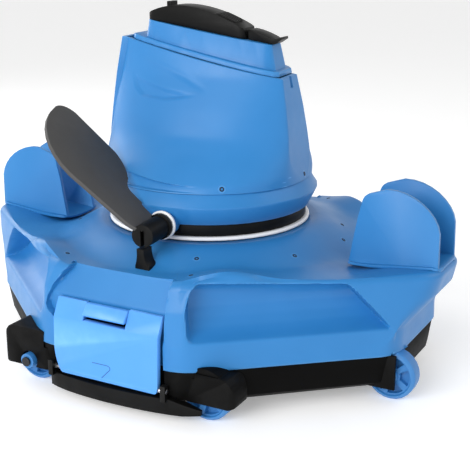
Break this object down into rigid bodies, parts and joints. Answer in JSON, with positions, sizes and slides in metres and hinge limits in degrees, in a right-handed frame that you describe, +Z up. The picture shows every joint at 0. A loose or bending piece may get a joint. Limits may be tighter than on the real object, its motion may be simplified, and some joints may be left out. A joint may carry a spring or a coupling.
{
  "type": "robotic pool cleaner",
  "caption": "Low octagonal wheeled base with jet guides at both ends, a swivelling pump tower, a flipping paddle and debris doors; crosses a pool floor by water jet.",
  "frame": {"origin": "on the floor under the middle of the base, on the axis the tower turns about", "axes": "+X is the direction of travel, towards one pair of fins; +Y is towards the rear debris door; +Z is up"},
  "size_m": [0.41, 0.3144, 0.28],
  "materials": {
    "blue_shell": "satin moulded blue",
    "blue_door": "satin moulded light blue",
    "blue_wheel": "smooth blue",
    "black_plastic": "satin black",
    "grey_plastic": "flat dark grey",
    "white_plastic": "smooth white",
    "steel": "turned stainless",
    "filter_mesh": "woven mesh",
    "seal_rubber": "moulded",
    "battery_wrap": "shrink wrap",
    "circuit_board": "lacquered"
  },
  "bodies": {
    "base": {"base_shell": "blue_shell", "chassis": "black_plastic", "bumper_lip_front": "black_plastic", "bumper_lip_rear": "black_plastic", "jet_guide_right": "blue_shell", "jet_guide_left": "blue_shell", "trim_ring": "white_plastic", "stop_post_front": "black_plastic", "stop_post_rear": "black_plastic", "suction_duct": "black_plastic", "filter_basket_front": "grey_plastic", "filter_basket_rear": "grey_plastic", "filter_screen_front": "filter_mesh", "filter_screen_rear": "filter_mesh", "door_pin_front": "steel", "door_pin_rear": "steel", "axle_front_left": "steel", "axle_front_right": "steel", "axle_end_right": "steel", "axle_rear_right": "steel", "axle_rear_left": "steel", "axle_end_left": "steel"},
    "tower": {"turntable": "black_plastic", "tower_foot": "blue_shell", "tower_shell": "blue_shell", "tower_neck": "blue_shell", "charge_socket": "steel", "pump_casing": "grey_plastic", "jet_nozzle": "black_plastic", "shaft_seal": "seal_rubber", "motor": "steel", "battery_pack": "battery_wrap", "control_board": "circuit_board", "paddle_bush": "white_plastic"},
    "paddle": {"paddle_hub": "black_plastic", "paddle_blade": "grey_plastic", "paddle_shaft": "steel"},
    "rotor": {"impeller": "white_plastic", "motor_shaft": "steel"},
    "lid": {"top_lid": "black_plastic"},
    "lid_lever": {"lid_latch": "black_plastic"},
    "button": {"power_button": "white_plastic"},
    "front_door": {"debris_door_front": "blue_door"},
    "rear_door": {"debris_door_rear": "blue_door"},
    "front_door_latch": {"door_latch_front": "blue_door"},
    "rear_door_latch": {"door_latch_rear": "blue_door"},
    "front_flap": {"intake_flap_front": "blue_shell"},
    "rear_flap": {"intake_flap_rear": "blue_shell"},
    "front_left_wheel": {"wheel_front_left": "blue_wheel"},
    "front_right_wheel": {"wheel_front_right": "blue_wheel"},
    "end_right_wheel": {"wheel_end_right": "blue_wheel"},
    "rear_right_wheel": {"wheel_rear_right": "blue_wheel"},
    "rear_left_wheel": {"wheel_rear_left": "blue_wheel"},
    "end_left_wheel": {"wheel_end_left": "blue_wheel"}
  },
  "joints": [
    {"name": "tower_swivel", "type": "hinge", "parent": "base", "child": "tower", "pos_m": [0, 0, 0.118], "axis": [0, 0, 1], "range_deg": [0, 180]},
    {"name": "paddle_flip", "type": "hinge", "parent": "tower", "child": "paddle", "pos_m": [0.0115, -0.1094, 0.1225], "axis": [-0.1045, 0.9945, 0], "range_deg": [0, 100]},
    {"name": "impeller_spin", "type": "hinge", "parent": "tower", "child": "rotor", "pos_m": [0, 0, 0.14], "axis": [0, 0, 1], "continuous": true},
    {"name": "lid_hinge", "type": "hinge", "parent": "tower", "child": "lid", "pos_m": [-0.04873, -0.00512, 0.266], "axis": [0.1045, -0.9945, 0], "range_deg": [0, 95]},
    {"name": "lid_lever_hinge", "type": "hinge", "parent": "tower", "child": "lid_lever", "pos_m": [0.05569, 0.00585, 0.2515], "axis": [-0.1045, 0.9945, 0], "range_deg": [0, 20]},
    {"name": "power_button_press", "type": "slide", "parent": "tower", "child": "button", "axis": [0, 0, -1], "range_m": [0, 0.0015], "stiffness_N_per_m": 400, "springref_m": -0.001},
    {"name": "front_door_hinge", "type": "hinge", "parent": "base", "child": "front_door", "pos_m": [0, -0.1515, 0.022], "axis": [1, 0, 0], "range_deg": [0, 88]},
    {"name": "rear_door_hinge", "type": "hinge", "parent": "base", "child": "rear_door", "pos_m": [0, 0.1515, 0.022], "axis": [-1, 0, 0], "range_deg": [0, 88]},
    {"name": "front_latch_press", "type": "slide", "parent": "front_door", "child": "front_door_latch", "axis": [0, 0, -1], "range_m": [0, 0.003], "stiffness_N_per_m": 400, "springref_m": -0.001},
    {"name": "rear_latch_press", "type": "slide", "parent": "rear_door", "child": "rear_door_latch", "axis": [0, 0, -1], "range_m": [0, 0.003], "stiffness_N_per_m": 400, "springref_m": -0.001},
    {"name": "front_flap_hinge", "type": "hinge", "parent": "base", "child": "front_flap", "pos_m": [0, -0.0865, 0.0164], "axis": [-1, 0, 0], "range_deg": [0, 70]},
    {"name": "rear_flap_hinge", "type": "hinge", "parent": "base", "child": "rear_flap", "pos_m": [0, 0.0865, 0.0164], "axis": [1, 0, 0], "range_deg": [0, 70]},
    {"name": "front_left_wheel_spin", "type": "hinge", "parent": "base", "child": "front_left_wheel", "pos_m": [-0.075, -0.133, 0.019], "axis": [0, 1, 0], "continuous": true},
    {"name": "front_right_wheel_spin", "type": "hinge", "parent": "base", "child": "front_right_wheel", "pos_m": [0.075, -0.133, 0.019], "axis": [0, 1, 0], "continuous": true},
    {"name": "end_right_wheel_spin", "type": "hinge", "parent": "base", "child": "end_right_wheel", "pos_m": [0.1775, -0.039, 0.019], "axis": [0, 1, 0], "continuous": true},
    {"name": "rear_right_wheel_spin", "type": "hinge", "parent": "base", "child": "rear_right_wheel", "pos_m": [0.075, 0.133, 0.019], "axis": [0, 1, 0], "continuous": true},
    {"name": "rear_left_wheel_spin", "type": "hinge", "parent": "base", "child": "rear_left_wheel", "pos_m": [-0.075, 0.133, 0.019], "axis": [0, 1, 0], "continuous": true},
    {"name": "end_left_wheel_spin", "type": "hinge", "parent": "base", "child": "end_left_wheel", "pos_m": [-0.1775, 0.039, 0.019], "axis": [0, 1, 0], "continuous": true}
  ]
}
